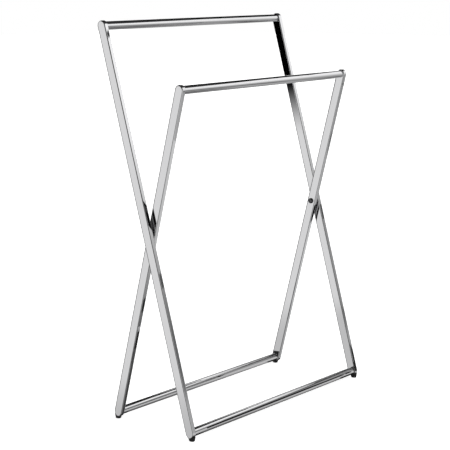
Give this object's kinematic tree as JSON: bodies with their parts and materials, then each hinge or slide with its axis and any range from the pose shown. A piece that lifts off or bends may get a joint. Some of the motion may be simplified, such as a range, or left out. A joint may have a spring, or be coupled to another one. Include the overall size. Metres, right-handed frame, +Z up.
{
  "type": "folding clothes and towel stand",
  "caption": "Free-standing rack of two crossed rectangular frames, flat legs and round bars, hinged like scissors so it folds flat; cloth hangs over the two top bars.",
  "frame": {"origin": "on the floor under the middle of the open stand's box", "axes": "+X across the stand along the hinge line, +Y towards the back, where the tall frame's top leans, +Z up"},
  "size_m": [0.54, 0.2256, 0.7793],
  "materials": {
    "chrome": "polished chrome plate on steel",
    "black_steel": "blackened steel screw",
    "steel": "plain turned steel, hidden",
    "nylon": "matt dark nylon",
    "rubber": "matt black rubber"
  },
  "bodies": {
    "tall_frame": {"tall_leg_left": "chrome", "tall_leg_right": "chrome", "tall_top_bar": "chrome", "tall_top_plug_left": "steel", "tall_top_plug_right": "steel", "tall_bottom_bar": "chrome", "tall_bottom_plug_left": "steel", "tall_bottom_plug_right": "steel", "front_foot_left": "rubber", "pivot_screw_left": "black_steel", "pivot_washer_left": "nylon", "front_foot_right": "rubber", "pivot_screw_right": "black_steel", "pivot_washer_right": "nylon"},
    "short_frame": {"short_leg_left": "chrome", "short_leg_right": "chrome", "short_top_bar": "chrome", "short_top_plug_left": "steel", "short_top_plug_right": "steel", "short_bottom_bar": "chrome", "short_bottom_plug_left": "steel", "short_bottom_plug_right": "steel", "back_foot_left": "rubber", "pivot_bushing_left": "nylon", "stop_pin_left": "steel", "back_foot_right": "rubber", "pivot_bushing_right": "nylon", "stop_pin_right": "steel"}
  },
  "joints": [
    {"name": "fold", "type": "hinge", "parent": "tall_frame", "child": "short_frame", "pos_m": [0, -0.00316, 0.38045], "axis": [-1, 0, 0], "range_deg": [0, 27.5]}
  ]
}
